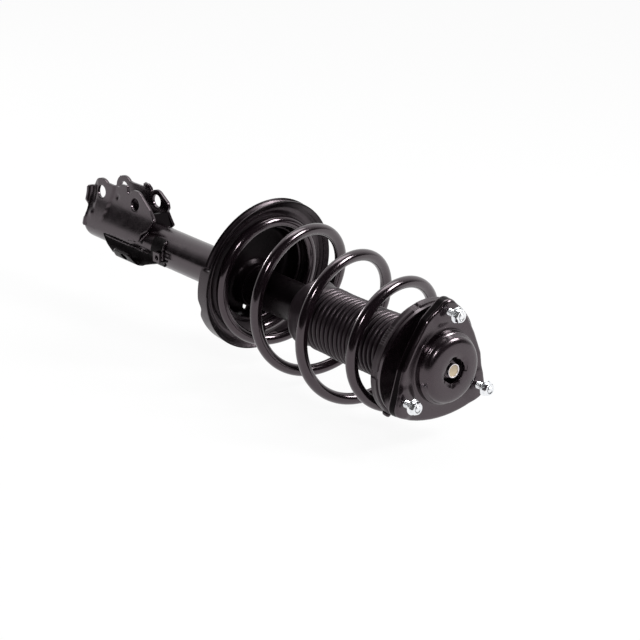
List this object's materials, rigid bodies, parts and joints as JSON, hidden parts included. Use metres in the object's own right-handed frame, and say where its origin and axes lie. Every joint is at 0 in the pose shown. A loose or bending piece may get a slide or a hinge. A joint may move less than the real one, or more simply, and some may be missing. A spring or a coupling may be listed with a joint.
{
  "type": "suspension strut assembly",
  "caption": "MacPherson strut with coil spring, ribbed dust boot, offset lower seat, clamp bracket for the knuckle and a triangular three stud top mount.",
  "frame": {"origin": "centre of the upper knuckle bolt, midway between the two knuckle plates", "axes": "strut lying as it rests on its side: +X along the strut towards the top mount, +Z away from the tube through the bracket's ears, -Y along the knuckle bolts towards the plate with the end flange"},
  "size_m": [0.6374, 0.182, 0.1927],
  "materials": {
    "black_ecoat": "gloss black electrocoat",
    "spring_coat": "gloss black powder coat",
    "black_rubber": "matte black rubber",
    "boot_rubber": "satin black rubber",
    "grey_rubber": "dusty dark grey rubber",
    "plain_steel": "ground steel",
    "sintered_steel": "sintered steel",
    "bush_bronze": "bronze lined bush",
    "rod_chrome": "hard chrome",
    "dark_plastic": "filled fluoroplastic band",
    "bump_foam": "microcellular polyurethane foam",
    "bright_zinc": "bright zinc plating"
  },
  "bodies": {
    "lower_strut": {"strut_tube": "black_ecoat", "near_knuckle_plate": "black_ecoat", "far_knuckle_plate": "black_ecoat", "knuckle_web": "black_ecoat", "link_bracket": "black_ecoat", "hose_tab": "black_ecoat", "lower_spring_seat": "black_ecoat", "lower_spring_pad": "black_rubber", "pressure_tube": "plain_steel", "base_valve": "sintered_steel", "rod_guide": "sintered_steel", "rod_bush": "bush_bronze", "oil_seal": "black_rubber", "tube_cap": "black_ecoat"},
    "rod_assembly": {"piston_rod": "rod_chrome", "piston": "sintered_steel", "piston_band": "dark_plastic", "piston_nut": "plain_steel", "rebound_stop": "black_rubber", "bump_stop": "bump_foam", "dust_boot": "boot_rubber", "coil_spring": "spring_coat", "upper_insulator": "grey_rubber", "upper_spring_seat": "black_ecoat", "bearing_inner_race": "plain_steel", "bearing_balls": "rod_chrome", "rod_washer": "plain_steel", "rod_nut": "black_ecoat"},
    "top_mount": {"bearing_outer_race": "plain_steel", "bearing_housing": "plain_steel", "mount_rubber": "black_rubber", "mount_plate": "black_ecoat", "mount_cup": "black_ecoat", "tower_studs": "bright_zinc", "stud_nuts": "bright_zinc"}
  },
  "joints": [
    {"name": "damper_stroke", "type": "slide", "parent": "lower_strut", "child": "rod_assembly", "axis": [1, 0, 0], "range_m": [-0.11, 0], "stiffness_N_per_m": 25000, "springref_m": 0.06, "deforming": ["coil_spring", "dust_boot"]},
    {"name": "strut_bearing", "type": "hinge", "parent": "rod_assembly", "child": "top_mount", "pos_m": [0.5, 0, -0.0435], "axis": [1, 0, 0], "continuous": true}
  ]
}
